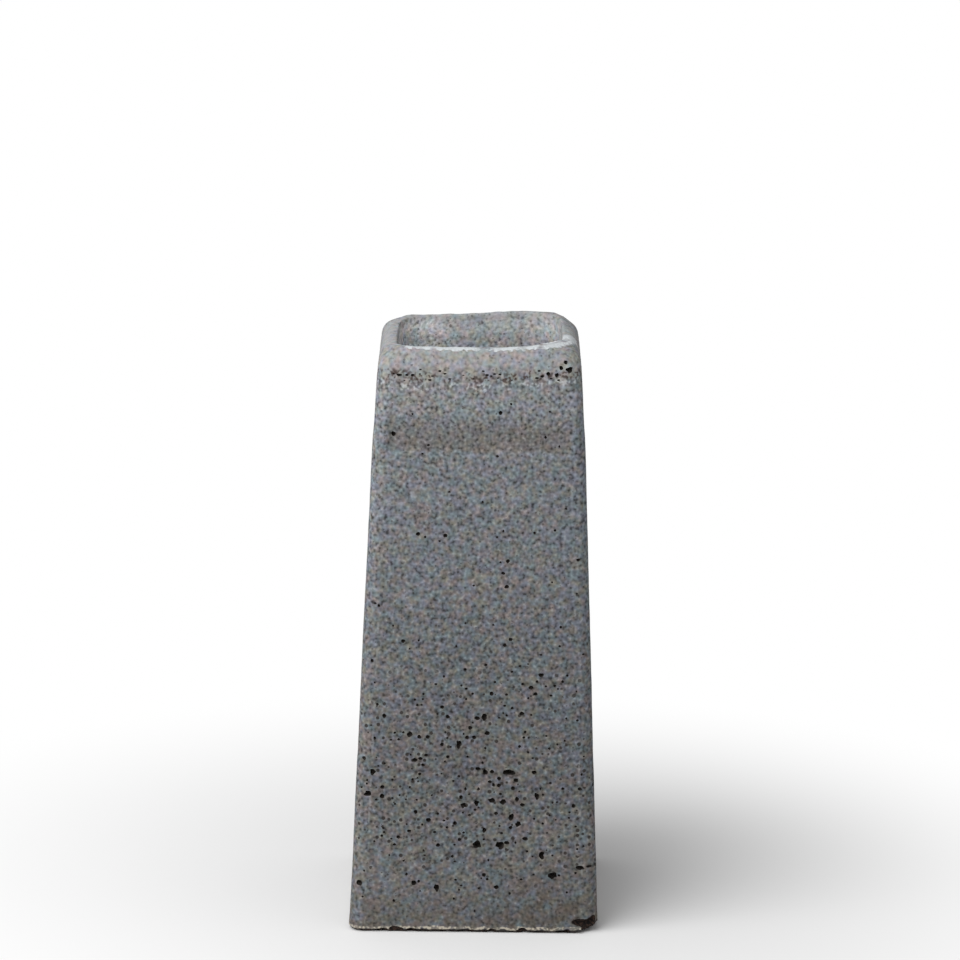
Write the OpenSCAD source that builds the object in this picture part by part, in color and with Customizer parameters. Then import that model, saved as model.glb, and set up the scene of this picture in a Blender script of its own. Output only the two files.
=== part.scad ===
// Concrete post base block: one casting, stood on its foot.
// It is cast head down in a tapered mould, round a tapered core that leaves the socket for a post.
// Origin: the middle of the foot, on the ground. +Z is up, and -Y is the front.

/* [Body] */
// Width of the square foot
foot_w = 180; // [165:1:240]
// Height from the foot to the top of the rim
block_h = 424; // [380:1:520]
// Height of the head, from the crease round the body to the top of the rim
head_h = 74; // [60:1:85]
// Width across the body at the crease, where the head begins
crease_w = 152; // [147:1:164]
// Radius of the rounded upright edges
edge_r = 10; // [5:0.5:20]
// Bevel worn on the bottom edge
foot_bevel = 2.5; // [1:0.5:5]

/* [Rim] */
// Width across the head where the shoulder begins
head_w = 144; // [140:1:151]
// Height of the rounded shoulder
shoulder_h = 18; // [8:1:26]
// Distance that the shoulder rounds inwards
shoulder_w = 10; // [5:0.5:11]
// Bevel on the inner lip of the rim
lip_bevel = 1.5; // [0.5:0.25:2.5]

/* [Head panel] */
// Depth of the sunken panel on each side of the head, at the crease
panel_depth = 2; // [1:0.25:4]
// Height over which the panel rises back to the face
panel_h = 38; // [25:1:44]
// Width of the flat left between each rounded edge and the panel beside it
land_w = 1; // [0.5:0.25:8]

/* [Socket] */
// Width of the square mouth
mouth_w = 116; // [100:1:119]
// Corner radius of the mouth
mouth_r = 26; // [15:1:45]
// Depth of the socket, from the top of the rim
socket_depth = 324; // [200:1:350]
// Width of the socket at its floor
floor_w = 74; // [65:1:95]
// Corner radius of the socket at its floor
floor_r = 20; // [10:1:30]
// Diameter of the drain hole through the floor
drain_d = 30; // [15:1:50]

/* [Broken corner] */
// How far the break at the front right corner of the foot reaches along the front
chip_front = 16; // [6:0.5:30]
// How far the break reaches back along the side
chip_side = 48; // [10:1:90]
// How far the break reaches up the corner
chip_rise = 17; // [6:0.5:40]

/* [Hidden] */

concrete = [0.46, 0.47, 0.47];
corner_steps = 8;  // flats round one corner
shoulder_steps = 6;  // flats up the shoulder
clear = 1;  // how far a cutter runs past the face that it opens

crease_z = block_h - head_h;
shoulder_z = block_h - shoulder_h;
floor_z = block_h - socket_depth;
head_lean = atan((crease_w - head_w) / 2 / (head_h - shoulder_h));

// Corner signs and first angles, anticlockwise from the back right corner
quarters = [[1, 1, 0], [-1, 1, 90], [-1, -1, 180], [1, -1, 270]];

// Points of one level cut: a square of the given width with rounded corners
function square_ring(z, width, radius) = [
    for (quarter = quarters, step = [0 : corner_steps])
        let (
            middle = width / 2 - radius,
            angle = quarter[2] + 90 * step / corner_steps
        )
        [quarter[0] * middle + radius * cos(angle), quarter[1] * middle + radius * sin(angle), z]
];

// A closed solid through level cuts, each given as [height, width, corner radius] from the bottom up
module loft(cuts) {
    count = 4 * (corner_steps + 1);
    last = (len(cuts) - 1) * count;
    points = [for (cut = cuts) each square_ring(cut[0], cut[1], cut[2])];
    walls = [
        for (row = [0 : len(cuts) - 2], i = [0 : count - 1])
            let (low = row * count, next = (i + 1) % count)
            [low + i, low + count + i, low + count + next, low + next]
    ];
    bottom = [for (i = [0 : count - 1]) i];
    top = [for (i = [count - 1 : -1 : 0]) last + i];
    polyhedron(points, concat([bottom, top], walls));
}

// One level cut of the shoulder, from 0 at its foot to 1 at the crest
function shoulder_cut(share) =
    let (inwards = 1 - cos(90 * share))
    [
        shoulder_z + shoulder_h * sin(90 * share),
        head_w - 2 * shoulder_w * inwards,
        edge_r + (mouth_r - edge_r) * inwards
    ];

// The outside: a long body, a head that leans in more, and the rounded shoulder
module outside() {
    loft([
        [0, foot_w - 2 * foot_bevel, edge_r],
        [foot_bevel, foot_w, edge_r],
        [crease_z, crease_w, edge_r],
        for (i = [0 : shoulder_steps]) shoulder_cut(i / shoulder_steps)
    ]);
}

// The space that the core leaves: a square funnel with a flat floor, and a drain hole below it
module socket() {
    lip_z = block_h - lip_bevel;
    lip_w = mouth_w + 2 * lip_bevel;
    loft([
        [floor_z, floor_w, floor_r],
        [lip_z, mouth_w, mouth_r],
        [block_h, lip_w, mouth_r + lip_bevel],
        [block_h + clear, lip_w, mouth_r + lip_bevel]
    ]);
    translate([0, 0, -clear])
        cylinder(h = floor_z + 2 * clear, d = drain_d, $fn = 64);
}

// The wedge of concrete that is missing from the front face of the head, deepest at the crease
module panel_cut() {
    profile = [[-clear, 0], [panel_depth, 0], [0, panel_h], [-clear, panel_h]];
    translate([0, -crease_w / 2, crease_z])
        rotate([-head_lean, 0, 0])
            rotate([90, 0, 90])
                linear_extrude(crease_w - 2 * (edge_r + land_w), center = true)
                    polygon(profile);
}

// One flake off the front right corner of the foot, as far along the front, the side and the corner
// as the three distances say. Its corner lies outside the block, so that its faces cut cleanly.
module flake(along_front, along_side, up) {
    grow = 1 + clear * (1 / along_front + 1 / along_side + 1 / up);
    translate([foot_w / 2 + clear, -foot_w / 2 - clear, -clear])
        polyhedron(
            [[0, 0, 0], [-grow * along_front, 0, 0], [0, grow * along_side, 0], [0, 0, grow * up]],
            [[2, 1, 0], [3, 2, 0], [1, 3, 0], [2, 3, 1]]
        );
}

// The broken corner: a low flake and a steep one, which leave a blunt ridge between them
module corner_break() {
    flake(chip_front, chip_side, chip_rise / 2);
    flake(chip_front / 2, chip_side / 2, chip_rise);
}

module post_base_block() {
    color(concrete)
        difference() {
            outside();
            socket();
            for (side = [0 : 3])
                rotate([0, 0, 90 * side])
                    panel_cut();
            corner_break();
        }
}

post_base_block();
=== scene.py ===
# %% [markdown]
# # A concrete post base block, cast and weathered
# The block is one casting: a tall tapered square of grey concrete with a deep socket in its head.
# Most of what the eye sees of it is its surface. So this lesson builds the casting as one closed
# skin of level cuts, carves the flaws of real concrete out of it, and then gives it a procedural
# material with the mottling, grit and stains of cast concrete.

# %% Imports and the fixed frame
import math

import bmesh
import bpy
import numpy as np
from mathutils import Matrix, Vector, noise


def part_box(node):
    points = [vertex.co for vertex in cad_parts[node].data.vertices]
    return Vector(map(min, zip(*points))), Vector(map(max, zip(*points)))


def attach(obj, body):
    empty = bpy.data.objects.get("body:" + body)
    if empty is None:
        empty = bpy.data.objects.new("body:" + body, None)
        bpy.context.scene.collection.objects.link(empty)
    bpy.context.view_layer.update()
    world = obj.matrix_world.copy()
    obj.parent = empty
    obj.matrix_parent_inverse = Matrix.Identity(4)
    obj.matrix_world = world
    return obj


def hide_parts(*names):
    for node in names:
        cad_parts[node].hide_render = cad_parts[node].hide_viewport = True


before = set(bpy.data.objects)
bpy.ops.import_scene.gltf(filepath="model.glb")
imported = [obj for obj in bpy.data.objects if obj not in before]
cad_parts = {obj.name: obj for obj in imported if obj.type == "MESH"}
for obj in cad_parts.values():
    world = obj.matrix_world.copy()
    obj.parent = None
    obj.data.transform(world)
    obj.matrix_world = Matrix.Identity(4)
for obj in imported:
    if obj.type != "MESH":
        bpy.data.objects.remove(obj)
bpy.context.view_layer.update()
NODE = "post_base_block"
low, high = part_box(NODE)
print(f"frame: {NODE} from {tuple(low)} to {tuple(high)}")

# %% [markdown]
# ## Sizes
# The outside sizes come from the frame. The rest are the real sizes of the casting, in metres, as
# they were in its mould. A designer would keep such numbers in one place, so that every later step
# can speak of the crease or the mouth and not of bare numbers.

# %% Sizes of the casting
MM = 0.001
FOOT_W = high[0] - low[0]
HEIGHT = high[2] - low[2]
HEAD_H = 74 * MM
CREASE_Z = HEIGHT - HEAD_H
CREASE_W = 152 * MM
HEAD_W = 144 * MM
SHOULDER_H = 18 * MM
SHOULDER_W = 10 * MM
SHOULDER_Z = HEIGHT - SHOULDER_H
EDGE_R = 10 * MM
FOOT_BEVEL = 2.5 * MM
PANEL_DEPTH = 2 * MM
PANEL_H = 38 * MM
LAND_W = 1 * MM
PANEL_HALF = CREASE_W / 2 - EDGE_R - LAND_W
MOUTH_W = 116 * MM
MOUTH_R = 26 * MM
LIP_BEVEL = 1.5 * MM
FLOOR_Z = 100 * MM
FLOOR_W = 74 * MM
FLOOR_R = 20 * MM
DRAIN_D = 30 * MM
SEED = 41
print(f"casting {FOOT_W / MM:.0f} mm square and {HEIGHT / MM:.0f} mm high")

# %% [markdown]
# ## The camera
# The photograph was taken through a long lens, from a little above the rim. A lens is long when the
# camera stands far off: upright edges then stay almost parallel. The camera looks at a place above
# the middle of the block, so that the block sits low in the frame as it does in the photograph, and
# it leans by two thirds of a degree, as the photographer's did.

# %% Camera
CAMERA_DISTANCE = 3.292
CAMERA_ELEVATION = math.radians(13.43)
CAMERA_ROLL = math.radians(0.64)
AIM = Vector((0.0011, 0.0, 0.312))
FOCAL_LENGTH = 171.66


def add_camera():
    """Put the camera on its line of sight, look at the aim and lean it."""
    data = bpy.data.cameras.new("camera")
    data.lens = FOCAL_LENGTH
    camera = bpy.data.objects.new("camera", data)
    bpy.context.scene.collection.objects.link(camera)
    back = Vector((0, -math.cos(CAMERA_ELEVATION), math.sin(CAMERA_ELEVATION)))
    camera.location = AIM + back * CAMERA_DISTANCE
    look = (-back).to_track_quat("-Z", "Y").to_matrix().to_4x4()
    camera.rotation_euler = look.to_euler()
    camera.rotation_euler.rotate_axis("Z", CAMERA_ROLL)
    bpy.context.scene.camera = camera


add_camera()
print(f"camera {CAMERA_DISTANCE} m away with a {FOCAL_LENGTH:.0f} mm lens")

# %% [markdown]
# ## Level cuts with round corners
# Every level cut of the casting is a square with round corners. It could be a curve that Blender
# divides for us, but then each cut would be divided in its own way. Here each cut has the same
# number of points, laid out in the same way, so that neighbouring cuts join up as a clean grid.
# The points crowd towards the corners, where the sunken panels of the head have their edges.

# %% Level cuts
HALF_SIDE_MM = 66
FROM_CORNER_MM = np.array([0.0, 0.6, 1.2, 2.0, 3.0, 4.4, 6.2])
FLAT_ENDS = FROM_CORNER_MM / HALF_SIDE_MM
FLAT_STEPS = 21
ARC_STEPS = 7


def rounded_square(width, radius):
    """Points of a rounded square, anticlockwise from the middle of its +X side."""
    straight = width / 2 - radius
    coarse = np.linspace(0, 1 - FLAT_ENDS[-1], FLAT_STEPS, endpoint=False)
    along = np.concatenate([coarse, 1 - FLAT_ENDS[::-1]])
    turn = np.linspace(0, math.pi / 2, ARC_STEPS + 2)[1:-1]
    rising = np.column_stack([np.full_like(along, width / 2), along * straight])
    corner = np.column_stack([straight + radius * np.cos(turn), straight + radius * np.sin(turn)])
    level = rising[::-1][:-1, ::-1]
    quarter = np.vstack([rising, corner, level])
    sides = [quarter]
    for _ in range(3):
        quarter = np.column_stack([-quarter[:, 1], quarter[:, 0]])
        sides.append(quarter)
    return np.vstack(sides)


UNDERSIDE = rounded_square(FOOT_W - 2 * FOOT_BEVEL, EDGE_R)
AROUND = len(UNDERSIDE)
print(f"{AROUND} points in every level cut")

# %% [markdown]
# ## The closed skin
# A block with a socket and a drain hole right through it is, to a topologist, a ring. So one loop
# of level cuts can run up the outside, over the rim, down the socket, across its floor, down the
# drain hole and back under the foot to where it began. Booleans of plain solids would give the
# same form, but not the even grid that the weathering needs. Each part of the loop is a short
# function that gives its cuts in order, as a height and the points at it. Cuts are closest together
# at the ledge under the panel, and further apart where the form runs straight or is hidden.

# %% Cuts up the outside
BODY_ROW = 3.0 * MM
LEDGE_ROW = 0.8 * MM
HEAD_ROW = 2.2 * MM
LEDGE = 5 * MM
SHOULDER_CUTS = 9


def spaced(start, end, step):
    """Even values from start up to but not including end, about a step apart."""
    count = max(1, round(abs(end - start) / step))
    return np.linspace(start, end, count, endpoint=False)


def wall_cuts():
    """The bottom edge, the body, the ledge of the panel, and the head up to the shoulder."""
    body = spaced(FOOT_BEVEL, CREASE_Z - LEDGE, BODY_ROW)
    ledge = spaced(CREASE_Z - LEDGE, CREASE_Z + LEDGE, LEDGE_ROW)
    head = spaced(CREASE_Z + LEDGE, SHOULDER_Z, HEAD_ROW)
    yield 0.0, UNDERSIDE
    for z in np.concatenate([body, ledge, head]):
        width = np.interp(z, [FOOT_BEVEL, CREASE_Z, SHOULDER_Z], [FOOT_W, CREASE_W, HEAD_W])
        yield z, rounded_square(width, EDGE_R)


def shoulder_cuts():
    """The rounded shoulder, whose corners widen to meet those of the mouth."""
    for share in np.linspace(0, 1, SHOULDER_CUTS):
        inwards = 1 - math.cos(share * math.pi / 2)
        z = SHOULDER_Z + SHOULDER_H * math.sin(share * math.pi / 2)
        radius = EDGE_R + (MOUTH_R - EDGE_R) * inwards
        yield z, rounded_square(HEAD_W - 2 * SHOULDER_W * inwards, radius)


cuts = [*wall_cuts(), *shoulder_cuts()]
print(f"{len(cuts)} cuts up the outside")

# %% Cuts over the rim and down the socket
LIP_CUTS = 4
LIP_W = MOUTH_W + 2 * LIP_BEVEL
CREST_W = HEAD_W - 2 * SHOULDER_W
SOCKET_CUTS = 30


def rim_cuts():
    """The crest of the rim, and the rounded lip of the mouth."""
    yield HEIGHT, rounded_square((LIP_W + CREST_W) / 2, MOUTH_R + LIP_BEVEL / 2)
    for share in np.linspace(0, 1, LIP_CUTS):
        turn = share * math.pi / 2
        width = LIP_W - 2 * LIP_BEVEL * math.sin(turn)
        yield HEIGHT - LIP_BEVEL * (1 - math.cos(turn)), rounded_square(width, MOUTH_R)


def socket_cuts():
    """The tapered socket down to its floor, with more cuts near the mouth, where it is seen."""
    depth = HEIGHT - LIP_BEVEL - FLOOR_Z
    for share in np.linspace(0, 1, SOCKET_CUTS)[1:] ** 1.5:
        width = MOUTH_W + (FLOOR_W - MOUTH_W) * share
        radius = MOUTH_R + (FLOOR_R - MOUTH_R) * share
        yield HEIGHT - LIP_BEVEL - depth * share, rounded_square(width, radius)


cuts += [*rim_cuts(), *socket_cuts()]
print(f"{len(cuts)} cuts down to the socket's floor")

# %% Cuts across the floor, down the drain hole and under the foot
FLOOR_SHARES = (0.35, 0.7, 1.0)
DRAIN_CUTS = 10
FOOT_CUTS = 14


def round_hole(diameter):
    """Points of a circle, each in the same direction as the matching point of the floor."""
    square = rounded_square(FLOOR_W, FLOOR_R)
    return square / np.linalg.norm(square, axis=1, keepdims=True) * diameter / 2


def hidden_cuts():
    """The way from the floor's edge through the drain hole and back to the bottom edge."""
    floor, hole = rounded_square(FLOOR_W, FLOOR_R), round_hole(DRAIN_D)
    for share in FLOOR_SHARES:
        yield FLOOR_Z, floor + (hole - floor) * share
    for z in np.linspace(FLOOR_Z, 0, DRAIN_CUTS)[1:]:
        yield z, hole
    for share in np.linspace(0, 1, FOOT_CUTS)[1:-1]:
        yield 0.0, hole + (UNDERSIDE - hole) * share


cuts += hidden_cuts()
print(f"{len(cuts)} cuts round the whole loop")

# %% [markdown]
# ## The grid of the skin
# Stacked up, the cuts are a grid of rows and columns. Each face joins two points of one row to the
# two beside them in the next, and the last row joins the first again, which closes the skin.

# %% Points and faces of the skin
def loop_grid(cuts):
    """Points of the skin, and the four points of each of its faces."""
    points = np.vstack([np.column_stack([cut, np.full(len(cut), z)]) for z, cut in cuts])
    row, column = np.meshgrid(np.arange(len(cuts)), np.arange(AROUND), indexing="ij")
    below, after = (row + 1) % len(cuts), (column + 1) % AROUND
    corners = [(row, column), (row, after), (below, after), (below, column)]
    faces = np.stack([r * AROUND + c for r, c in corners], axis=-1).reshape(-1, 4)
    return points, faces


points, faces = loop_grid(cuts)
print(f"skin of {len(points)} points and {len(faces)} faces")

# %% [markdown]
# ## Soft steps and smooth noise
# Steel moulds bulge, and concrete settles and shrinks, so no face of the real block is quite flat. A
# displacement modifier with a texture could do this, but a formula for each departure is easier to
# steer. All of them are built from these two helpers.

# %% Helpers for the shape
def smooth(value, start, end):
    """0 before start, 1 after end and an even curve between them."""
    share = np.clip((value - start) / (end - start), 0, 1)
    return share * share * (3 - 2 * share)


def noise_at(positions, wave, seed):
    """Smooth noise from -1 to 1 at each position, with bumps about one wave apart."""
    shift = Vector((seed * 7.13, seed * 3.71, seed * 5.39))
    return np.array([noise.noise(Vector(p) / wave + shift) for p in positions])


print(f"smooth(0.25, 0, 1) is {float(smooth(0.25, 0, 1)):.3f}")

# %% [markdown]
# ## The sunken panels
# Each side of the head has a shallow panel, deepest at the crease, where it ends in a ledge. In the
# real block that ledge is soft and a little wavy, because wet concrete never fills a sharp corner of
# the mould. A straight cut into the face would look machined, so the panel is a depth that fades
# towards its edges, and two sine waves of unlike lengths bend its ledge.

# %% Depth of the panels
LEDGE_SOFTNESS = 2.2 * MM
SIDE_SOFTNESS = 3.2 * MM


def panel_depth_at(across, z):
    """How deep the head's sunken panel is, at a distance across the face and a height."""
    wave = 1.3 * MM * np.sin(across / (9 * MM)) + 0.7 * MM * np.sin(across / (3.7 * MM) + 1)
    ledge = smooth(z, CREASE_Z - LEDGE_SOFTNESS + wave, CREASE_Z + LEDGE_SOFTNESS + wave)
    fade = np.clip(1 - (z - CREASE_Z) / PANEL_H, 0, 1)
    side = 1 - smooth(np.abs(across), PANEL_HALF - SIDE_SOFTNESS, PANEL_HALF + 0.4 * MM)
    return PANEL_DEPTH * fade * ledge * side


deepest = panel_depth_at(np.array([0.0]), np.array([CREASE_Z + 4 * MM]))[0]
print(f"panel {deepest / MM:.2f} mm deep 4 mm above the crease")

# %% [markdown]
# ## Which way is out
# To push a wall in or out, each of its points needs a direction. On a flat side that is straight
# out, and round a corner it has to turn smoothly. A high power of the coordinates does both.

# %% Directions and walls
TURN_POWER = 20
TINY = 1e-6


def face_of(positions):
    """The outward direction at each point, and its distance across its side."""
    x, y = positions[:, 0], positions[:, 1]
    reach = np.maximum(np.abs(x), np.abs(y)) + 1e-9
    turned_x = np.sign(x) * (np.abs(x) / reach) ** TURN_POWER
    turned_y = np.sign(y) * (np.abs(y) / reach) ** TURN_POWER
    out = np.column_stack([turned_x, turned_y])
    out /= np.linalg.norm(out, axis=1, keepdims=True)
    return out, np.where(np.abs(x) > np.abs(y), y, x)


def on_outside(positions):
    """True on the outside walls, and False in the socket, on its floor and under the foot."""
    reach = np.maximum(np.abs(positions[:, 0]), np.abs(positions[:, 1]))
    walls = [0.5 * FLOOR_W, 0.55 * FLOOR_W, 0.5 * MOUTH_W + LIP_BEVEL]
    wall = np.interp(positions[:, 2], [0, FLOOR_Z, HEIGHT], walls)
    return (reach > wall + 1.5 * MM) & (positions[:, 2] > TINY)


print(f"{on_outside(points).sum()} of {len(points)} points are on the outside")

# %% [markdown]
# ## The uneven rim
# The rim came out of the mould uneven: highest along the right, lower towards the left and at the
# back corners, with slow and short waves on top. It could be sculpted, but a formula gives the same
# rim every time. It only ever takes height away, so the block is nowhere taller than its mould.

# %% Drop of the rim
RIM_DROP = 3.6 * MM
RIM_BAND = 30 * MM
RIM_WAVE = 26 * MM
RIM_GRAIN_WAVE = 7 * MM


def rim_drop_at(positions):
    """How far the rim falls short of its full height."""
    x, y, z = positions.T
    near_rim = smooth(z, HEIGHT - RIM_BAND, HEIGHT)
    back = 1 - smooth(x, -45 * MM, 45 * MM)
    front = 0.55 * (1 - smooth(x, 12 * MM, 48 * MM))
    tilt = front + (back - front) * smooth(y, -45 * MM, 45 * MM)
    level = positions * [1, 1, 0.1]
    waves = 0.2 * noise_at(level, RIM_WAVE, 3) + 0.16 * noise_at(level, RIM_GRAIN_WAVE, 4)
    corners = 1.1 * smooth(np.abs(x), 54 * MM, 67 * MM) * smooth(y, -20 * MM, 40 * MM)
    return RIM_DROP * near_rim * np.clip(tilt + waves + corners, 0, 1.3)


rim_drop = rim_drop_at(points)
print(f"rim up to {rim_drop.max() / MM:.1f} mm low")

# %% [markdown]
# ## The two front corners of the mouth
# The core that shaped the socket was worn. In the photograph the mouth's front left corner is
# sharper than the others and its front right corner rounder. A second outline for the mouth would
# upset the grid, so only the points near each corner move, and the move fades out down the socket.

# %% Shift of the mouth's corners
CORNER_AT = 51 * MM
CORNER_GROWTH = ((-1, 4.1 * MM), (1, -2.4 * MM))


def corner_shift(positions):
    """How far the mouth's front corners lie outwards from where the mould had them."""
    near_rim = smooth(positions[:, 2], HEIGHT - 60 * MM, HEIGHT - 12 * MM)
    shift = np.zeros_like(positions)
    for sign, grow in CORNER_GROWTH:
        away = np.linalg.norm(positions[:, :2] - [sign * CORNER_AT, -CORNER_AT], axis=1)
        share = near_rim * (1 - smooth(away, 3 * MM, 17 * MM))
        shift[:, 0] += sign * grow * share
        shift[:, 1] -= grow * share
    return shift


mouth_shift = corner_shift(points)
print(f"mouth's corners moved by up to {np.abs(mouth_shift).max() / MM:.1f} mm")

# %% [markdown]
# ## All the departures together
# The walls also swell and waver slowly, carry a fine grain, and have shrunk a little below the head.
# On the outside all this goes inwards, so the casting stays within the size of its mould. Near the
# ground it fades away, because the foot is the casting's true size.

# %% Weathered skin
SWELL = 0.5 * MM
SWELL_WAVE = 45 * MM
SHRINK = 0.5 * MM
GRAIN = 0.25 * MM
GRAIN_WAVE = 9 * MM
SOCKET_SHARE = 0.8


def weathered(positions):
    """The skin's points with every departure from the mould's shape."""
    moved = positions.copy()
    z = positions[:, 2]
    outside = on_outside(positions)
    socket = ~outside & (z > TINY)
    out, across = face_of(positions)
    swell = SWELL * (0.5 + 0.5 * noise_at(positions, SWELL_WAVE, 1))
    grain = GRAIN * (0.5 + 0.5 * noise_at(positions, GRAIN_WAVE, 2))
    steady = smooth(z, 0, 6 * MM) * 0.85 + 0.15
    shrink = SHRINK * (1 - smooth(z, CREASE_Z, SHOULDER_Z))
    inwards = panel_depth_at(across, z) + (swell + grain + shrink) * steady
    moved[:, :2] -= out * (inwards * outside)[:, None]
    moved[:, :2] += out * ((swell + grain) * socket)[:, None] * SOCKET_SHARE
    moved[:, 2] -= rim_drop
    return moved + mouth_shift


skin_points = weathered(points)
print(f"moved by up to {np.abs(skin_points - points).max() / MM:.2f} mm")

# %% [markdown]
# ## Building the mesh
# Numbers become a mesh through `from_pydata`. The normals are then made to point outwards, because
# the carving that follows has to know which side of the skin is concrete.

# %% Mesh helpers
def mesh_object(name, positions, polygons):
    """A new object in the scene with the given points and faces."""
    mesh = bpy.data.meshes.new(name)
    mesh.from_pydata([tuple(p) for p in positions], [], [tuple(f) for f in polygons])
    mesh.update()
    made = bpy.data.objects.new(name, mesh)
    bpy.context.scene.collection.objects.link(made)
    return made


def named_material(name):
    """The material of this name, which is made if there is none yet."""
    return bpy.data.materials.get(name) or bpy.data.materials.new(name)


def face_outwards(made):
    """Turn every face of a closed mesh to point outwards, and return its volume."""
    grid = bmesh.new()
    grid.from_mesh(made.data)
    bmesh.ops.recalc_face_normals(grid, faces=grid.faces)
    if grid.calc_volume(signed=True) < 0:
        bmesh.ops.reverse_faces(grid, faces=grid.faces)
    volume = grid.calc_volume()
    grid.to_mesh(made.data)
    grid.free()
    return volume


casting = mesh_object("casting", skin_points, faces)
casting.data.materials.append(named_material("cast surface"))
volume = face_outwards(casting)
print(f"casting of {volume * 1000:.2f} litres")

# %% [markdown]
# ## Lumps to carve with
# Air trapped in wet concrete leaves blowholes, and knocks flake the edges. Both can be carved with
# slightly lumpy balls. One ball is made once, as plain arrays of points and faces, and every flaw
# is a stretched, turned and roughened copy of it. Copies that don't touch can share one mesh, so
# hundreds of holes are carved in a single boolean step.

# %% Lumpy ball
LUMP_WAVE = 0.9


def unit_ball(fineness):
    """Points and triangles of a ball of radius 1."""
    ball = bmesh.new()
    bmesh.ops.create_icosphere(ball, subdivisions=fineness, radius=1)
    ball.verts.ensure_lookup_table()
    spots = np.array([v.co[:] for v in ball.verts])
    sides = np.array([[v.index for v in f.verts] for f in ball.faces])
    ball.free()
    return spots, sides


BALLS = {fineness: unit_ball(fineness) for fineness in (1, 2, 3, 4)}


def lump(centre, radii, axes, fineness, rough, seed):
    """A roughened ball, stretched along three right-handed axes. Returns its points and faces."""
    spots, sides = BALLS[fineness]
    bumps = 1 + rough * noise_at(spots, LUMP_WAVE, seed)
    spots = spots * bumps[:, None] * radii
    return spots @ np.array(axes) + centre, sides


print("points of each ball:", [len(spots) for spots, _ in BALLS.values()])

# %% [markdown]
# ## One boolean for many lumps
# The lumps are joined into one cutter. Blender's manifold solver is quick and exact on closed
# meshes. It can also hand the cutter's material to the faces that it leaves, so the inside of a
# hole gets a finish of its own without any further selecting.

# %% Carving
def join_lumps(lumps):
    """One set of points and faces from many."""
    stacked, polygons, start = [], [], 0
    for spots, sides in lumps:
        stacked.append(spots)
        polygons.append(sides + start)
        start += len(spots)
    return np.vstack(stacked), np.vstack(polygons)


def carve(target, lumps, name):
    """Take lumps out of the target with one boolean, and delete them."""
    cutter = mesh_object(name, *join_lumps(lumps))
    cutter.data.materials.append(named_material(name))
    modifier = target.modifiers.new(name, "BOOLEAN")
    modifier.operation = "DIFFERENCE"
    modifier.solver = "MANIFOLD"
    modifier.material_mode = "TRANSFER"
    modifier.object = cutter
    seen = bpy.context.evaluated_depsgraph_get()
    carved = bpy.data.meshes.new_from_object(target.evaluated_get(seen))
    target.modifiers.clear()
    old = target.data
    target.data = carved
    bpy.data.meshes.remove(old)
    bpy.data.objects.remove(cutter)
    print(f"{name}: {len(lumps)} carved, the casting has {len(carved.polygons)} faces")


# %% [markdown]
# ## Blowholes
# The mould stood upside down and was filled through what is now the foot, so air rose towards the foot and
# most holes are in the lower half. A bump in the material could fake them, but a real hole catches a real
# shadow. The front face has a listed set of its largest holes. Each is given by its place across the face
# and its height above the ground, and then its width and height, all in millimetres.

# %% The largest holes of the front
FRONT_HOLES = [
    (46, 190, 4, 3), (11, 176, 3, 3), (1, 158, 4, 3), (6, 159, 4, 5), (-4, 151, 3, 3), (-12, 139, 4, 6),
    (-6, 144, 3, 3), (-1, 144, 3, 3), (-47, 146, 4, 4), (-40, 144, 3, 3), (-34, 144, 3, 3), (-65, 159, 3, 3),
    (-20, 159, 3, 3), (-24, 166, 3, 3), (-43, 127, 4, 3), (-73, 118, 4, 5), (-66, 107, 3, 3), (2, 121, 4, 3),
    (7, 119, 4, 4), (12, 119, 3, 3), (24, 119, 9, 4), (42, 119, 4, 3), (17, 114, 3, 3), (29, 113, 4, 3),
    (17, 109, 3, 3), (27, 107, 3, 3), (-10, 100, 3, 3), (12, 98, 5, 4), (20, 97, 4, 4), (1, 96, 4, 4),
    (-8, 94, 4, 4), (30, 99, 3, 4), (44, 101, 3, 5), (-76, 102, 6, 4), (-33, 83, 4, 3), (-42, 89, 3, 3),
    (26, 86, 4, 5), (31, 81, 4, 4), (-14, 81, 3, 3), (7, 76, 3, 4), (2, 65, 6, 5), (18, 65, 6, 6),
    (23, 67, 4, 3), (36, 70, 4, 3), (48, 58, 4, 5), (56, 43, 6, 5), (76, 49, 6, 3), (82, 50, 5, 2),
    (-27, 33, 4, 5), (7, 43, 3, 3), (-82, 36, 4, 4), (16, 34, 4, 3), (-42, 291, 3, 3), (-37, 289, 2, 2),
    (15, 378, 3, 3), (-60, 362, 3, 4), (44, 404, 3, 2), (48, 406, 3, 3), (54, 405, 3, 3), (57, 410, 3, 3),
    (63, 409, 5, 4), (60, 414, 3, 3), (-56, 404, 4, 2), (-51, 404, 3, 2), (-47, 404, 3, 2),
]
print(f"{len(FRONT_HOLES)} holes picked by hand")

# %% [markdown]
# ## Scattered holes
# The rest are scattered by a seeded random draw, so that the block comes out the same every time. A
# beta distribution crowds them low down, as the rising air did. A hole that would run into another
# is drawn again, because the lumps of one carving must not touch.

# %% Random holes
HOLES_A_SIDE = (230, 150, 150, 150)
HIGH_HOLES = 26
HIGH_BAND = (150 * MM, 390 * MM)
LOWEST_HOLE = 8 * MM
HOLE_GAP = 0.6 * MM


def half_width(z):
    """Half the width of the block's outside at a height."""
    up = np.clip((z - SHOULDER_Z) / SHOULDER_H, 0, 1)
    rounded = SHOULDER_W * (1 - math.sqrt(1 - up * up))
    widths = [FOOT_W / 2, CREASE_W / 2, HEAD_W / 2]
    return np.interp(z, [0, CREASE_Z, SHOULDER_Z], widths) - rounded


def is_clear(across, z, size, taken):
    """Whether a hole of this size keeps its distance from all those already there."""
    gaps = [math.hypot(across - a, z - b) - (size + s) / 2 for a, b, s in taken]
    return min(gaps, default=1) > HOLE_GAP


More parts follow.
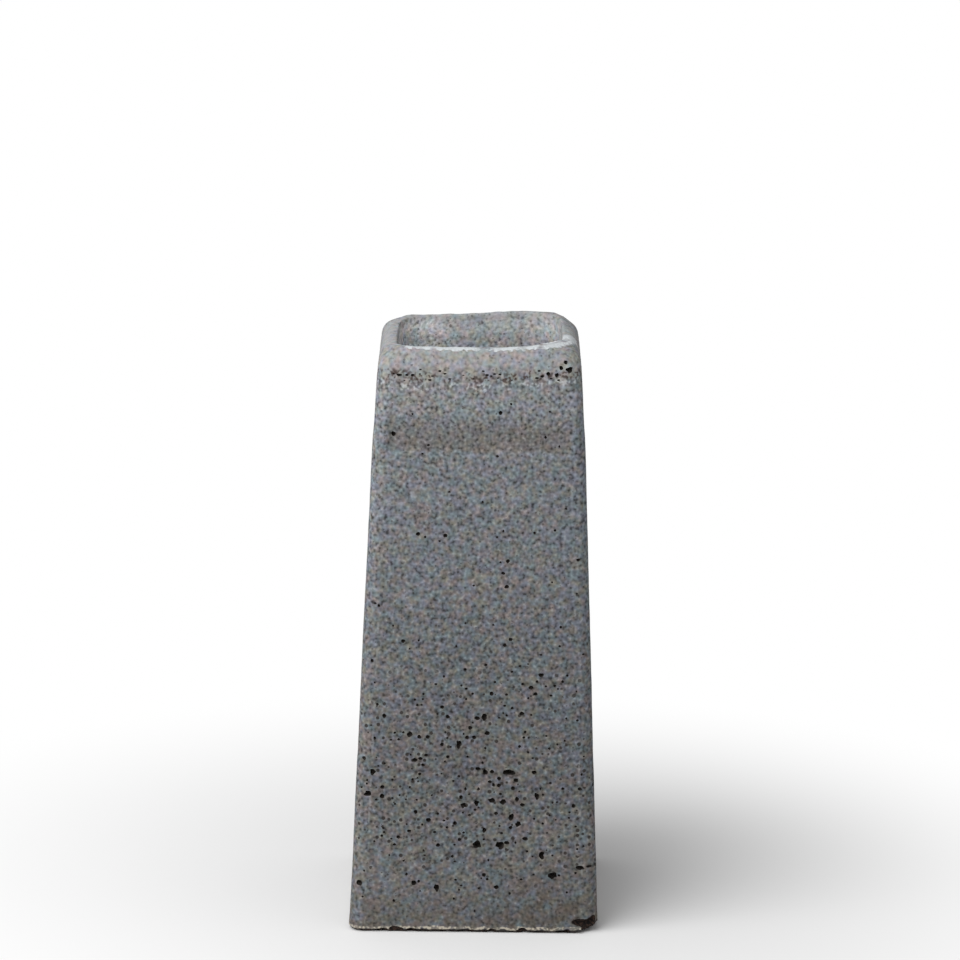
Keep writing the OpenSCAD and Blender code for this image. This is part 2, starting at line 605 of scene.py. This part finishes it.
def scattered_holes(random, side, taken):
    """Random holes for one side, the first of them high up and the rest mostly low."""
    found = []
    while len(found) < HOLES_A_SIDE[side]:
        is_low = len(found) >= HIGH_HOLES
        z = CREASE_Z * random.beta(2.6, 5.2) if is_low else random.uniform(*HIGH_BAND)
        size = MM * (1.7 + 2.2 * random.beta(1.0, 4.0))
        across = random.uniform(-1, 1) * (half_width(z) - 3 * MM)
        if z > LOWEST_HOLE and is_clear(across, z, size, taken):
            taken.append((across, z, size))
            found.append((across, z, size * random.uniform(0.85, 1.3), size * random.uniform(0.8, 1.1)))
    return found


print(f"{sum(HOLES_A_SIDE)} holes to scatter over the four sides")

# %% [markdown]
# ## Pits under the shoulder
# A ragged line of small pits runs round the head where the shoulder begins. There the mould changed
# from one steel part to the next, and paste leaked out through the joint. They are drawn in the same
# way, but along a line.

# %% Random pits
PITS_A_SIDE = 22
PIT_Z = 404 * MM


def pit_row(random, taken):
    """Small flat pits along the line where the shoulder begins."""
    found = []
    while len(found) < PITS_A_SIDE:
        across = random.uniform(-62, 62) * MM
        z = PIT_Z + random.normal(0, 2.2) * MM
        size = MM * random.uniform(1.2, 2.4)
        if is_clear(across, z, size, taken):
            taken.append((across, z, size))
            found.append((across, z, size * 1.4, size * 0.8))
    return found


print(f"{PITS_A_SIDE} pits on each side, about {PIT_Z / MM:.0f} mm up")

# %% [markdown]
# ## Carving the holes
# Each hole is a lump whose middle lies just under the face, so that it is wider inside than at its
# mouth, as a burst bubble is. Large holes get finer and rougher lumps, because their outline shows.

# %% Carved blowholes
SIDES = [(0, -1), (1, 0), (0, 1), (-1, 0)]
SMALL_HOLE = 2.6 * MM
LARGE_HOLE = 4 * MM
SKIN_SUNK = 0.35 * MM
MIDDLE_SHARE = 0.22
DEPTH_SHARE = 0.75


def side_axes(side):
    """Directions out of a side, across it and up, in right-handed order."""
    out = np.array([*SIDES[side], 0.0])
    return out, np.array([-out[1], out[0], 0.0]), np.array([0.0, 0.0, 1.0])


def hole_finish(size):
    """How finely a hole of this size is divided, and how rough it is."""
    if size < SMALL_HOLE:
        return 1, 0.35
    if size < LARGE_HOLE:
        return 2, 0.35
    return 3, 0.55


def blowhole(side, across, z, width, height, seed):
    """A hole that is wider inside than at its mouth, on one side of the block."""
    out, tangent, up = side_axes(side)
    size = (width + height) / 2
    face = half_width(z) - panel_depth_at(np.array([across]), np.array([z]))[0] - SKIN_SUNK
    centre = tangent * across + out * (face - MIDDLE_SHARE * size) + up * z
    radii = (DEPTH_SHARE * size, width / 2, height / 2)
    return lump(centre, radii, (out, tangent, up), *hole_finish(size), seed)


def all_holes():
    """Lumps for every blowhole and pit on the four sides."""
    random = np.random.default_rng(SEED)
    lumps = []
    for side in range(4):
        picked = [tuple(v * MM for v in hole) for hole in FRONT_HOLES] if side == 0 else []
        taken = [(a, z, max(w, h)) for a, z, w, h in picked]
        scattered = scattered_holes(random, side, taken)
        for hole in picked + scattered + pit_row(random, taken):
            lumps.append(blowhole(side, *hole, len(lumps) + 1))
    return lumps


carve(casting, all_holes(), "pore")

# %% [markdown]
# ## Crumbled foot edge
# The edge of the foot was the open side of the mould. It was struck off with a board and never
# sealed, so it crumbles: many short, shallow flakes are missing all the way round. Flat lumps that
# sit half outside the edge take them off. Neighbouring flakes overlap, so they are carved in turns.

# %% Foot flakes
FLAKES_A_SIDE = 18
SMALLEST_FLAKE = [3.5, 2.5, 1.6]
LARGEST_FLAKE = [9, 4.5, 3.6]
FLAKE_FINENESS = 3
FLAKE_ROUGH = 0.6


def foot_flakes():
    """Flat lumps along the four bottom edges, in the order in which they stand."""
    random = np.random.default_rng(SEED + 1)
    lumps = []
    for side in range(4):
        out, tangent, up = side_axes(side)
        pitch = FOOT_W / FLAKES_A_SIDE
        for index in range(FLAKES_A_SIDE):
            across = -FOOT_W / 2 + pitch * (index + random.uniform(0.2, 0.8))
            length, depth, rise = MM * random.uniform(SMALLEST_FLAKE, LARGEST_FLAKE)
            edge = out * (FOOT_W / 2 - 0.4 * MM)
            centre = tangent * across + edge + up * random.uniform(-0.6, 0.6) * MM
            radii, axes, seed = (depth, length, rise), (out, tangent, up), 500 + len(lumps)
            lumps.append(lump(centre, radii, axes, FLAKE_FINENESS, FLAKE_ROUGH, seed))
    return lumps


flakes = foot_flakes()
carve(casting, flakes[0::2], "crumb")
carve(casting, flakes[1::2], "crumb")

# %% [markdown]
# ## The broken corner
# The front right corner of the foot has been knocked off. One cut would leave a flat face, and torn
# concrete is never flat. So two slabs with a rough face cut the corner away, one low and one steep,
# and a lump bites into the front edge beside them. A slab is a finely divided box whose points are
# pushed about by noise.

# %% Slab with a rough face
TEAR = 1.1 * MM
SLAB_W = 70 * MM
SLAB_T = 24 * MM
SLAB_CUTS = 30


def divided_box(cuts):
    """Points and faces of a box from -1 to 1, with each side divided."""
    box = bmesh.new()
    bmesh.ops.create_cube(box, size=2)
    bmesh.ops.subdivide_edges(box, edges=box.edges, cuts=cuts, use_grid_fill=True)
    box.verts.ensure_lookup_table()
    spots = np.array([v.co[:] for v in box.verts])
    sides = np.array([[v.index for v in f.verts] for f in box.faces])
    box.free()
    return spots, sides


def slab(along_front, along_side, rise, seed):
    """A rough slab whose inner face crosses the corner at three distances from it."""
    inner = Vector((-1 / along_front, 1 / along_side, 1 / rise)).normalized()
    corner = Vector((FOOT_W / 2, -FOOT_W / 2, 0))
    reach = abs(inner.x) * along_front
    side = inner.orthogonal().normalized()
    other = inner.cross(side)
    spots, sides = divided_box(SLAB_CUTS)
    spots = spots * [SLAB_W / 2, SLAB_W / 2, SLAB_T / 2] - [0, 0, SLAB_T / 2]
    spots[:, 2] += TEAR * (noise_at(spots, 7 * MM, seed) + 0.5 * noise_at(spots, 2.8 * MM, seed + 1))
    return spots @ np.array([side, other, inner]) + np.array(corner + inner * reach), sides


print(f"a slab has {len(divided_box(SLAB_CUTS)[0])} points")

# %% Carved corner
LOW_FLAKE = np.array([18, 44, 7]) * MM
STEEP_FLAKE = np.array([9, 30, 16]) * MM
BITE_AT = np.array([FOOT_W / 2 - 6.5 * MM, -FOOT_W / 2 + 1.5 * MM, 6.5 * MM])
BITE_RADII = np.array([12, 5, 6.5]) * MM

carve(casting, [slab(*LOW_FLAKE, 901)], "crumb")
carve(casting, [slab(*STEEP_FLAKE, 903)], "crumb")
carve(casting, [lump(BITE_AT, BITE_RADII, np.eye(3), 4, 0.7, 907)], "crumb")

# %% [markdown]
# ## Shader arithmetic
# A procedural material is a sum: so much of this noise, less of it near the foot, more on the
# edges. Written as nodes and links such a sum is hard to read. The small class below lets it be
# written as Python arithmetic, and each operator adds the Math node that does it.

# %% Terms
class Term:
    """A number socket in a shader graph that can stand in a Python expression."""

    def __init__(self, graph, socket):
        self.graph, self.socket = graph, socket

    def _math(self, operation, *values):
        return self.graph.node("ShaderNodeMath", {"operation": operation}, dict(enumerate(values)))

    def __add__(self, other):
        return self._math("ADD", self, other)

    def __sub__(self, other):
        return self._math("SUBTRACT", self, other)

    def __rsub__(self, other):
        return self._math("SUBTRACT", other, self)

    def __mul__(self, other):
        return self._math("MULTIPLY", self, other)

    def __truediv__(self, other):
        return self._math("DIVIDE", self, other)

    def __abs__(self):
        return self._math("ABSOLUTE", self)

    __radd__, __rmul__ = __add__, __mul__

    def above(self, other):
        """The larger of this and another value."""
        return self._math("MAXIMUM", self, other)

    def below(self, other):
        """The smaller of this and another value."""
        return self._math("MINIMUM", self, other)

    def root(self):
        """The square root."""
        return self._math("SQRT", self)

    def ramp(self, start, end):
        """0 at start and 1 at end, with a soft curve between. Start may be the larger."""
        values = {"Value": self, "From Min": start, "From Max": end}
        return self.graph.node("ShaderNodeMapRange", {"interpolation_type": "SMOOTHSTEP"}, values)

    def ramp_mm(self, start, end):
        """The same for a length, with start and end in millimetres."""
        return self.ramp(start * MM, end * MM)


print("besides sums, a term can do", [name for name in vars(Term) if not name.startswith("_")])

# %% [markdown]
# ## One method for every node
# All other nodes come from one method. It adds a node, makes its settings first, because some of
# them change its sockets, and then fills the sockets with values or links. Mixing, greys and noise
# are used so often that they get a short name each.

# %% Graphs
class Graph:
    """The nodes of a material or of the world."""

    def __init__(self, owner):
        owner.use_nodes = True
        self.tree = owner.node_tree
        self.tree.nodes.clear()

    def node(self, kind, settings=None, values=None, output=0):
        """Add a node, make its settings, fill or link its inputs, and return one output."""
        added = self.tree.nodes.new(kind)
        for name, setting in (settings or {}).items():
            setattr(added, name, setting)
        for name, value in (values or {}).items():
            if isinstance(value, Term):
                self.tree.links.new(value.socket, added.inputs[name])
            else:
                added.inputs[name].default_value = value
        return Term(self, added.outputs[output]) if added.outputs else None

    def blend(self, share, first, second, how="MIX"):
        """One colour mixed with another."""
        settings = {"data_type": "RGBA", "blend_type": how}
        return self.node("ShaderNodeMix", settings, {0: share, 6: first, 7: second}, 2)

    def scaled(self, colour, factor):
        """A colour made lighter or darker."""
        grey = self.node("ShaderNodeCombineColor", None, {0: factor, 1: factor, 2: factor})
        return self.blend(1.0, colour, grey, "MULTIPLY")

    def clouds(self, place, wave, detail=2.0, seed=0.0):
        """Noise from 0 to 1 whose bumps are about one wave across."""
        values = {"Vector": place, "W": seed, "Scale": 1 / wave, "Detail": detail, "Roughness": 0.5}
        return self.node("ShaderNodeTexNoise", {"noise_dimensions": "4D"}, values)


def paint(red, green, blue):
    """A colour as it looks on screen, from 0 to 255, as the linear colour that shaders use."""
    def linear(value):
        share = value / 255
        return share / 12.92 if share <= 0.04045 else ((share + 0.055) / 1.055) ** 2.4
    return (linear(red), linear(green), linear(blue), 1.0)


print("middle grey is", [round(part, 3) for part in paint(128, 128, 128)])

# %% [markdown]
# ## Places on the casting
# Every finish depends only on where a point is on the casting, in metres, so that it stays put when
# the camera moves. These terms say how high a point is, how far across its face, how far out from
# the mouth, how far in from the body's edge, and whether it is on the front.

# %% Places
MOUTH_FLAT = MOUTH_W / 2 - MOUTH_R

graph = Graph(named_material("cast surface"))
here = graph.node("ShaderNodeTexCoord", output="Object")
x, y, z = (graph.node("ShaderNodeSeparateXYZ", None, {0: here}, part) for part in range(3))
across = abs(x).below(abs(y))
beyond_x = (abs(x) - MOUTH_FLAT).above(0.0)
beyond_y = (abs(y) - MOUTH_FLAT).above(0.0)
from_mouth = (beyond_x * beyond_x + beyond_y * beyond_y).root() - MOUTH_R
body_half = FOOT_W / 2 - z * ((FOOT_W - CREASE_W) / 2 / CREASE_Z)
inset = body_half - across
on_front = (x.above(0.0) * 0.45 - y).ramp_mm(48, 55)
print(f"{len(graph.tree.nodes)} nodes tell the place")

# %% [markdown]
# ## Noises of concrete
# Concrete varies at every size: broad clouds where the paste is thicker, smaller clouds, and then
# flecks and grit of sand. Sand grains are all about as large as each other, so their noises have no
# finer detail. Two more noises are kept for colour alone, so that colour and brightness don't
# always change together.

# %% Noises
broad = graph.clouds(here, 60 * MM, 2, seed=1)
cloud = graph.clouds(here, 9 * MM, 2, seed=2)
fleck = graph.clouds(here, 2.6 * MM, 0, seed=3)
grit = graph.clouds(here, 1.7 * MM, 0, seed=4)
tint = graph.clouds(here, 5 * MM, 1, seed=7)
moss = graph.clouds(here, 6 * MM, 1, seed=8)
print(f"{len(graph.tree.nodes)} nodes with the noises")

# %% [markdown]
# ## Ground colour
# Cast concrete is never one grey. Cement settles in soft clouds, some bluish and some brown, with a
# breath of rose and green across them. The upper body is a little bluer than the foot, the shoulder
# browner again, and the colours are calmer the higher they are.

# %% Ground colour
COOL = paint(86, 98, 111)
WARM = paint(109, 98, 88)
ROSE = paint(100, 94, 101)
MOSS = paint(92, 101, 95)

chill = 0.035 * z.ramp_mm(120, 280) - 0.045 * z.ramp_mm(370, 410)
calm = 1 - 0.25 * z.ramp_mm(200, 330) - 0.12 * z.ramp_mm(360, 400)
uneven_hue = broad * 0.15 + cloud * 0.2 + tint * 0.8 - 0.57
hue = (uneven_hue * calm - chill).ramp(-0.15, 0.15)
blue_and_brown = graph.blend(hue, COOL, WARM)
rose_and_green = graph.blend(moss.ramp(0.3, 0.7), ROSE, MOSS)
colour = graph.blend(0.5, blue_and_brown, rose_and_green)
print(f"{len(graph.tree.nodes)} nodes with the ground colour")

# %% [markdown]
# ## Darker panel and damp foot
# The sunken panel is painted darker and browner, most just above the crease. The foot was cast last, is
# richer in water and stands on wet ground, so it is stained, most at its front right. Each mask is made from
# heights and clouds, and the colour is mixed in through it.

# %% Panel darkening and damp
PANEL_BROWN = paint(90, 81, 72)
STAIN = paint(80, 72, 62)

panel_up = (z - CREASE_Z) / PANEL_H
on_panel = across.ramp(PANEL_HALF + 1 * MM, PANEL_HALF - 3 * MM)
# The sunken panel is painted darker and browner, most just above the crease.
panel_darkening = panel_up.ramp(0.85, 0.15) * (panel_up + (cloud - 0.5) * 0.25).ramp(-0.05, 0.05) * on_panel
colour = graph.blend(panel_darkening * (0.2 + 0.5 * cloud), colour, PANEL_BROWN)
damp = z.ramp_mm(35, 8) * cloud.ramp(0.3, 0.55)
colour = graph.blend(damp * 0.45, colour, STAIN)
low_right = on_front * z.ramp_mm(75, 30) * x.ramp_mm(10, 50) * cloud.ramp(0.35, 0.65)
colour = graph.blend(low_right * 0.6, colour, STAIN)
print(f"film over the {PANEL_H / MM:.0f} mm above the crease, damp below 35 mm")

# %% [markdown]
# ## Painted light and grain
# The block is painted darkest near the foot and steadily paler upwards. This is painted shade standing in
# for the light falling off from above. The head is painted paler, and the shoulder, which faces up to the
# light, palest, as a painted highlight. The body's rounded corners are painted lighter, partly as painted
# light on their rounding and partly as rubbed wear. The left side is painted lighter than the right, as
# painted light from the lamp's side. This slow change of painted light is multiplied by the quick change of
# the sand grains, which is softer on the shoulder and near the ground. Then the darkest and palest grains
# are picked out with a colour of their own.

# %% Painted light and grain
PALE = paint(150, 152, 153)
DARK = paint(40, 39, 38)

# Painted light and wear: the body's rounded corners are lighter, partly as painted light on their rounding
# and partly as rubbed wear.
corner = inset.ramp_mm(11, 9) * z.ramp(SHOULDER_Z, CREASE_Z)
# Painted shade: darker towards the foot, standing in for the light falling off from above.
falloff_shade = 0.87 + 0.06 * z.ramp_mm(100, 60) + 0.37 * z.ramp_mm(120, 370)
# Painted highlight: paler up the head and palest on the shoulder, which faces up to the light.
top_light = 1 - 0.02 * z.ramp_mm(347, 353) + 0.26 * z.ramp_mm(364, 384) + 0.38 * z.ramp_mm(402, 412)
# The last factor is painted light from the lamp's side: the left is lighter than the right.
painted_light = top_light * falloff_shade * (1 + 0.13 * corner) * (1 - 0.6 * x)
softness = 1 - 0.18 * z.ramp_mm(60, 35) - 0.5 * z.ramp_mm(394, 412)
sand = (1.9 * (fleck - 0.5) + 0.8 * (grit - 0.5)) * softness
colour = graph.scaled(colour, painted_light * (1.05 + sand + 0.1 * (broad - 0.5)))
speck = fleck * 0.6 + grit * 0.4
colour = graph.blend(speck.ramp(0.40, 0.28) * softness * 0.4, colour, DARK)
colour = graph.blend(speck.ramp(0.62, 0.76) * softness * 0.3, colour, PALE)
print(f"{len(graph.tree.nodes)} nodes with tone and grain")

# %% [markdown]
# ## Pin pores
# Between the carved holes the lower body is peppered with pores too small to carve. A Voronoi
# texture divides the block into cells. Each cell draws a lot, its random colour, that says whether
# it has a pore and how large it is. A cell seen from its middle outwards gives the round shape.

# %% Pin pores
PIN = paint(46, 41, 38)


def pin_pores(cell, shift, share, radius):
    """1 inside small round pores, and a second mask, 1 round them, that carries a painted highlight. A share
    of the cells have one.
    """
    steps = {0: here, 1: (shift, shift, shift)}
    moved = graph.node("ShaderNodeVectorMath", {"operation": "ADD"}, steps)
    values = {"Vector": moved, "Scale": 1 / cell, "Randomness": 1.0}
    far = graph.node("ShaderNodeTexVoronoi", None, values, "Distance")
    chance = graph.node("ShaderNodeTexVoronoi", None, values, "Color")
    lot = graph.node("ShaderNodeSeparateColor", None, {0: chance})
    size = lot.ramp(1 - share, 1.0) * (radius / cell)
    chosen = lot.ramp(0.99 - share, 1.01 - share)
    return far.ramp(size, size * 0.55) * chosen, far.ramp(size * 1.9, size * 1.4) * chosen


crowd = z.ramp_mm(20, 60) * z.ramp_mm(240, 150)
wide, rim_highlight = pin_pores(cell=4.2 * MM, shift=0.3, share=0.55, radius=1.7 * MM)
small, _ = pin_pores(cell=2.6 * MM, shift=0.7, share=0.5, radius=1.0 * MM)
pores = (wide * (crowd * 0.75 + 0.2)).above(small * 0.45)
# Painted highlight: a pale ring round the pin pores, where their rims would catch the light.
colour = graph.blend(rim_highlight * crowd * 0.1, colour, PALE)
colour = graph.blend(pores, colour, PIN)
print("pores up to 3.4 and 2 mm across, most of them 60 to 150 mm up")

# %% [markdown]
# ## The seam under the shoulder
# Where the mould's parts met, leaked paste left a ragged dark line, broken into patches. Under it runs a
# painted highlight, where the small ledge below the line catches the light. Between the carved pits the line
# is too thin for the grid, so it is painted. The height is bent by noise before it is compared, so that the
# line wanders. The upright edges were also rubbed pale in places.

# %% Seam and rubbed edges
RUST = paint(62, 48, 42)
LIP_HIGHLIGHT = paint(192, 197, 200)

rubbed = inset.ramp_mm(10.2, 11.0) * inset.ramp_mm(12.6, 11.6) * cloud.ramp(0.50, 0.62)
colour = graph.blend(rubbed * z.ramp(CREASE_Z, 300 * MM) * 0.35, colour, PALE)
seam_z = z + (broad - 0.5) * (16 * MM) + (cloud - 0.5) * (8 * MM)
seam = seam_z.ramp_mm(399, 403) * seam_z.ramp_mm(411, 406)
ledge_highlight = seam_z.ramp_mm(394, 397) * seam_z.ramp_mm(402, 399)
patches = cloud.ramp(0.40, 0.55) * from_mouth.ramp_mm(5, 7)
fine = fleck * 0.45 + grit * 0.55
colour = graph.blend(seam * patches * fine.ramp(0.51, 0.40) * 0.8, colour, RUST)
# Painted highlight: a pale broken line under the seam, where its small ledge catches the light.
colour = graph.blend(ledge_highlight * patches * fine.ramp(0.50, 0.60) * 0.4, colour, LIP_HIGHLIGHT)
print("seam about 405 mm up, crumbs about 398 mm up")

# %% [markdown]
# ## The lip of the mouth
# The lip is painted almost white along the front, as a painted highlight where its arris catches the light,
# in a band that is ragged and widens at both ends. It could be a material of its own, but as a mask it can
# fade and break up. The walls just inside the mouth are painted paler too, most of all the left one: painted
# light where the socket's own walls keep the lamp off them.

# %% Lip and inner walls
# Painted highlight: the lip of the mouth is painted almost white along the front, where its arris catches
# the light.
uneven = from_mouth + (fleck - 0.5) * (5 * MM)
lip_width = 6.6 * MM + 4.0 * MM * x.ramp_mm(-40, -52) + 3.4 * MM * x.ramp_mm(36, 50)
lip = uneven.ramp_mm(-1.5, 0.2) * (uneven - lip_width).ramp(1.0 * MM, 0.0)
lip = lip * z.ramp(HEIGHT - 14 * MM, HEIGHT - 9 * MM) * cloud.ramp(0.28, 0.50)
lip = lip * (0.2 + 0.8 * on_front * x.ramp_mm(-58.5, -56.5))
colour = graph.blend(lip, colour, LIP_HIGHLIGHT)
# Painted light: the walls just inside the mouth are lightened, most on the left, where the socket's own
# walls keep the lamp off them.
inside = from_mouth.ramp_mm(0.5, -0.5) * z.ramp_mm(300, 400)
colour = graph.scaled(colour, 1.0 + inside * (0.45 + 1.2 * x.ramp_mm(-10, -50)))
print(f"{len(graph.tree.nodes)} nodes with the lip")

# %% [markdown]
# ## The bottom edge
# The arris of the foot is a broken cream line of bare paste, with a thread of painted shade below it, where
# the chipped edge is in shade.
# Both follow the crumbled edge, so their height is bent by noise as the seam's was.

# %% Cream arris and painted shade
CREAM = paint(184, 176, 160)
UNDERCUT_SHADE = paint(38, 31, 27)

foot_z = z + (cloud - 0.5) * (5 * MM) + (tint - 0.5) * (3 * MM)
arris = foot_z.ramp_mm(2.0, 2.8) * foot_z.ramp_mm(4.6, 3.8) * z.ramp_mm(5.6, 4.6)
colour = graph.blend(arris * (0.2 + 0.65 * grit.ramp(0.42, 0.58)), colour, CREAM)
# Painted shade: a dark thread under the arris, where the chipped edge is in shade.
undercut_shade = foot_z.ramp_mm(2.6, 1.8) * z.ramp_mm(5.5, 4.5)
colour = graph.blend(undercut_shade * 0.85, colour, UNDERCUT_SHADE)
print(f"{len(graph.tree.nodes)} nodes in the whole colour")

# %% [markdown]
# ## Matt shaders
# Concrete scatters light evenly and has hardly any gloss. One function makes such a shader from a
# colour and a bump. The bump uses the same noises as the colour, so that a dark grain is also a low
# one and a painted pore is sunk.

# %% The cast surface
def finish_surface(graph, colour, bump, depth, roughness):
    """A matt shader with the colour, and bumps of the depth."""
    relief = {"Strength": 1.0, "Distance": depth, "Height": bump}
    normal = graph.node("ShaderNodeBump", None, relief)
    values = {"Base Color": colour, "Roughness": roughness, "Specular IOR Level": 0.25, "Normal": normal}
    shader = graph.node("ShaderNodeBsdfPrincipled", None, values)
    graph.node("ShaderNodeOutputMaterial", None, {"Surface": shader})


bump = fleck * 0.5 + grit * 0.3 + cloud * 0.2 - pores * 0.6
finish_surface(graph, colour, bump, 1.0 * MM, 0.92)
print(f"cast surface of {len(graph.tree.nodes)} nodes")

# %% [markdown]
# ## Insides of holes and torn concrete
# A blowhole's inside is painted dark: partly for the dust that settles in it, and partly as painted shade,
# darker than the little light the hole itself lets out. The torn foot is painted nearly black with reddish
# grains, as painted shade in the hollows of its breaks. Both are simple mixes of two colours.

# %% Pores and crumbs
graph = Graph(named_material("pore"))
here = graph.node("ShaderNodeTexCoord", output="Object")
dust_and_shade = graph.clouds(here, 3 * MM)
# Dust and painted shade: the hole's inside is darker than its own cavity makes it.
colour = graph.blend(dust_and_shade, paint(22, 20, 19), paint(56, 50, 46))
finish_surface(graph, colour, dust_and_shade, 0.5 * MM, 0.95)

graph = Graph(named_material("crumb"))
here = graph.node("ShaderNodeTexCoord", output="Object")
grains = graph.clouds(here, 1.8 * MM, 3)
# Painted shade: the broken faces and flakes are painted nearly black, with reddish grains, for the shade in
# their hollows.
colour = graph.blend(grains.ramp(0.42, 0.64), paint(15, 12, 11), paint(62, 47, 40))
finish_surface(graph, colour, grains, 0.9 * MM, 0.95)
print("materials", [material.name for material in casting.data.materials if material])

# %% [markdown]
# ## Smooth faces and sharp edges
# Smooth shading hides the facets of the walls, but it would smear the rims of the holes. So edges that turn
# by more than a limit stay hard. The piece then rides on its body and stands in for the plain solid of the
# frame, which is hidden.

# %% Shading and place in the model
SHARP = math.radians(38)


def mark_sharp(made, limit):
    """Shade smooth, with edges sharper than the limit left hard."""
    grid = bmesh.new()
    grid.from_mesh(made.data)
    for face in grid.faces:
        face.smooth = True
    for edge in grid.edges:
        edge.smooth = len(edge.link_faces) == 2 and edge.calc_face_angle(0) < limit
    grid.to_mesh(made.data)
    grid.free()


mark_sharp(casting, SHARP)
triangles = sum(len(p.vertices) - 2 for p in casting.data.polygons)
print(f"{triangles} triangles")

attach(casting, "root")
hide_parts(NODE)

# %% [markdown]
# ## Floor
# The block stands on a pale matt floor that shows its soft shadow. Further off the floor fades to
# plain white, but only for rays that come from the camera or by way of gloss or glass. So the white
# is seen and never lights the block.

# %% Floor
FLOOR_SIZE = 40.0


def is_looked_at(graph):
    """1 for what the camera sees, also in a reflection or through glass, and 0 for light."""
    kinds = ("Is Camera Ray", "Is Glossy Ray", "Is Transmission Ray")
    camera, glossy, through = (graph.node("ShaderNodeLightPath", output=kind) for kind in kinds)
    return camera.above(glossy).above(through)


def add_floor():
    """A pale floor that keeps the shadow near the block and fades to white further off."""
    half = FLOOR_SIZE / 2
    corners = [(-half, -half, 0), (half, -half, 0), (half, half, 0), (-half, half, 0)]
    floor = mesh_object("floor", corners, [(0, 1, 2, 3)])
    material = named_material("floor")
    graph = Graph(material)
    here = graph.node("ShaderNodeTexCoord", output="Object")
    far = graph.node("ShaderNodeVectorMath", {"operation": "LENGTH"}, {0: here}, "Value")
    matt = graph.node("ShaderNodeBsdfDiffuse", None, {"Color": paint(236, 236, 236)})
    white = graph.node("ShaderNodeEmission", None, {"Color": (1, 1, 1, 1), "Strength": 1.0})
    share = is_looked_at(graph) * far.ramp(0.12, 0.55)
    mixed = graph.node("ShaderNodeMixShader", None, {0: share, 1: matt, 2: white})
    graph.node("ShaderNodeOutputMaterial", None, {"Surface": mixed})
    floor.data.materials.append(material)


add_floor()
print(f"floor {FLOOR_SIZE:.0f} m across, white from 0.55 m off")

# %% [markdown]
# ## Background and light
# The world is white to the eye, and for light it is an even grey that fills the shadows. One large
# square lamp at the upper left front gives the block its form. The view transform is the standard
# one, so that a colour renders about as it is written.

# %% World and lamp
WORLD_FILL = 0.46
LAMP_PLACE = Vector((-1.0, -1.1, 1.6))
LAMP_AIM = Vector((0, 0, 0.25))
LAMP_SIZE = 1.9
LAMP_WATTS = 44


def add_world(fill):
    """White where the camera sees it, and a soft even fill everywhere else."""
    world = bpy.data.worlds.new("world")
    bpy.context.scene.world = world
    graph = Graph(world)
    strength = is_looked_at(graph) * (1 - fill) + fill
    back = graph.node("ShaderNodeBackground", None, {"Color": (1, 1, 1, 1), "Strength": strength})
    graph.node("ShaderNodeOutputWorld", None, {"Surface": back})


def add_soft_light(name, place, aim, size, power):
    """A square soft light that points at the aim."""
    data = bpy.data.lights.new(name, "AREA")
    data.size, data.energy = size, power
    light = bpy.data.objects.new(name, data)
    light.location = place
    light.rotation_euler = (aim - place).to_track_quat("-Z", "Y").to_euler()
    bpy.context.scene.collection.objects.link(light)


add_world(WORLD_FILL)
add_soft_light("key", LAMP_PLACE, LAMP_AIM, LAMP_SIZE, LAMP_WATTS)
bpy.context.scene.view_settings.view_transform = "Standard"
print(f"one lamp of {LAMP_WATTS} W, world at {WORLD_FILL}")

# %% [markdown]
# ## Within the mould's size
# The dressed casting has to lie inside the box of the plain solid, because nothing was added outside the
# mould's size.
